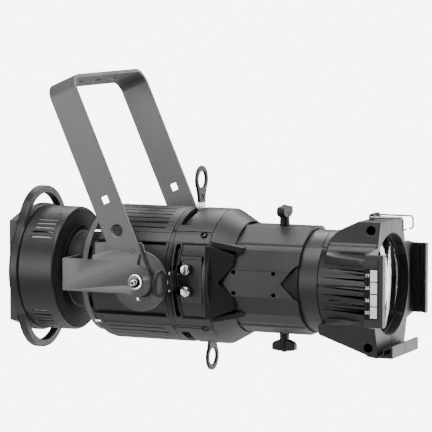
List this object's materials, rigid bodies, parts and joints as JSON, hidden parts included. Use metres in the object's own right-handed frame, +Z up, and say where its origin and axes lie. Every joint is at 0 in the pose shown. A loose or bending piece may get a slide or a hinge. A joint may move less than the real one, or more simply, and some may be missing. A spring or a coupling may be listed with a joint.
{
  "type": "ellipsoidal spotlight",
  "caption": "Stage spotlight on a U yoke: finned body, rear drum with fan, framing shutters, turning barrel, sliding lens tube with frame rails.",
  "frame": {"origin": "hanging point: the centre of the yoke bar's outer face, at the clamp bolt's hole", "axes": "+X along the light beam, out of the lens; +Z up; +Y to the far side, along the tilt axis"},
  "size_m": [0.5402, 0.2996, 0.392],
  "materials": {
    "black_casting": "black powder coat, satin",
    "grey_sheet": "grey powder coat, satin",
    "pale_casting": "grey powder coat, satin",
    "bare_aluminium": "milled",
    "bright_steel": "plated",
    "black_plastic": "matte",
    "board": "lacquered circuit board",
    "lens_glass": "polished",
    "reflector_mirror": "polished",
    "display_glass": "gloss",
    "scale_plate": "printed"
  },
  "bodies": {
    "yoke": {"yoke": "grey_sheet"},
    "lamp_body": {"reflector_housing": "black_casting", "turn_ring": "bare_aluminium", "rear_bulkhead": "pale_casting", "neck_housing": "black_casting", "drum_shell": "black_casting", "handle_ring": "black_casting", "rear_cover": "black_casting", "driver_board": "board", "display_window": "display_glass", "power_inlet": "black_plastic", "data_in": "black_plastic", "led_board": "bare_aluminium", "reflector": "reflector_mirror", "heat_sink": "bare_aluminium", "fan_frame": "black_plastic", "pivot_plate_far": "grey_sheet", "pivot_plate_near": "grey_sheet", "friction_disc_far": "black_plastic", "friction_disc_near": "black_plastic", "side_arm_far": "grey_sheet", "side_arm_near": "grey_sheet", "cup_nut_far": "bright_steel", "cup_nut_near": "bright_steel", "pivot_bolt_far": "bright_steel", "pivot_bolt_near": "bright_steel"},
    "fan": {"fan_rotor": "black_plastic"},
    "menu_button_1": {"button_1": "black_plastic"},
    "menu_button_2": {"button_2": "black_plastic"},
    "menu_button_3": {"button_3": "black_plastic"},
    "menu_button_4": {"button_4": "black_plastic"},
    "front_barrel": {"shutter_housing": "black_casting", "shutter_plate_rear": "bare_aluminium", "shutter_plate_front": "bare_aluminium", "shutter_separator": "bare_aluminium", "access_plate": "black_casting", "thumb_screw_upper": "bright_steel", "thumb_screw_lower": "bright_steel", "housing_screw_1": "bright_steel", "housing_screw_2": "bright_steel", "housing_screw_3": "bright_steel", "housing_screw_4": "bright_steel", "barrel": "black_casting"},
    "top_shutter": {"shutter_blade_top": "bright_steel", "shutter_handle_top": "black_plastic"},
    "far_shutter": {"shutter_blade_far": "bright_steel", "shutter_handle_far": "black_plastic"},
    "near_shutter": {"shutter_blade_near": "bright_steel", "shutter_handle_near": "black_plastic"},
    "bottom_shutter": {"shutter_blade_bottom": "bright_steel", "shutter_handle_bottom": "black_plastic"},
    "lens_tube": {"lens_shell_far": "black_casting", "lens_shell_near": "black_casting", "front_lens": "lens_glass", "lens_ring": "black_casting", "rear_lens": "lens_glass", "label_plate": "scale_plate"},
    "top_knob": {"focus_knob_top": "black_plastic"},
    "bottom_knob": {"focus_knob_bottom": "black_plastic"},
    "frame_clip": {"gel_clip": "bright_steel"}
  },
  "joints": [
    {"name": "tilt", "type": "hinge", "parent": "yoke", "child": "lamp_body", "pos_m": [0.1113, 0, -0.25475], "axis": [0, 1, 0], "range_deg": [-40, 38]},
    {"name": "barrel_turn", "type": "hinge", "parent": "lamp_body", "child": "front_barrel", "pos_m": [0.1413, 0, -0.25475], "axis": [1, 0, 0], "range_deg": [-25, 25]},
    {"name": "focus_slide", "type": "slide", "parent": "front_barrel", "child": "lens_tube", "axis": [1, 0, 0], "range_m": [-0.017, 0.043]},
    {"name": "top_shutter_slide", "type": "slide", "parent": "front_barrel", "child": "top_shutter", "axis": [0, 0, 1], "range_m": [-0.0045, 0.038]},
    {"name": "far_shutter_slide", "type": "slide", "parent": "front_barrel", "child": "far_shutter", "axis": [0, 1, 0], "range_m": [-0.0095, 0.035]},
    {"name": "near_shutter_slide", "type": "slide", "parent": "front_barrel", "child": "near_shutter", "axis": [0, -1, 0], "range_m": [-0.0165, 0.028]},
    {"name": "bottom_shutter_slide", "type": "slide", "parent": "front_barrel", "child": "bottom_shutter", "axis": [0, 0, -1], "range_m": [0, 0.036]},
    {"name": "top_knob_turn", "type": "hinge", "parent": "front_barrel", "child": "top_knob", "pos_m": [0.271, 0, -0.17], "axis": [0, 0, 1], "range_deg": [0, 360]},
    {"name": "bottom_knob_turn", "type": "hinge", "parent": "front_barrel", "child": "bottom_knob", "pos_m": [0.271, 0, -0.34], "axis": [0, 0, -1], "range_deg": [0, 360]},
    {"name": "clip_lift", "type": "hinge", "parent": "lens_tube", "child": "frame_clip", "pos_m": [0.3943, 0, -0.16875], "axis": [0, -1, 0], "range_deg": [0, 75]},
    {"name": "fan_spin", "type": "hinge", "parent": "lamp_body", "child": "fan", "pos_m": [-0.06, 0, -0.25475], "axis": [1, 0, 0], "continuous": true},
    {"name": "button_1_press", "type": "slide", "parent": "lamp_body", "child": "menu_button_1", "axis": [1, 0, 0], "range_m": [0, 0.001], "stiffness_N_per_m": 400, "springref_m": -0.0005},
    {"name": "button_2_press", "type": "slide", "parent": "lamp_body", "child": "menu_button_2", "axis": [1, 0, 0], "range_m": [0, 0.001], "stiffness_N_per_m": 400, "springref_m": -0.0005},
    {"name": "button_3_press", "type": "slide", "parent": "lamp_body", "child": "menu_button_3", "axis": [1, 0, 0], "range_m": [0, 0.001], "stiffness_N_per_m": 400, "springref_m": -0.0005},
    {"name": "button_4_press", "type": "slide", "parent": "lamp_body", "child": "menu_button_4", "axis": [1, 0, 0], "range_m": [0, 0.001], "stiffness_N_per_m": 400, "springref_m": -0.0005}
  ]
}
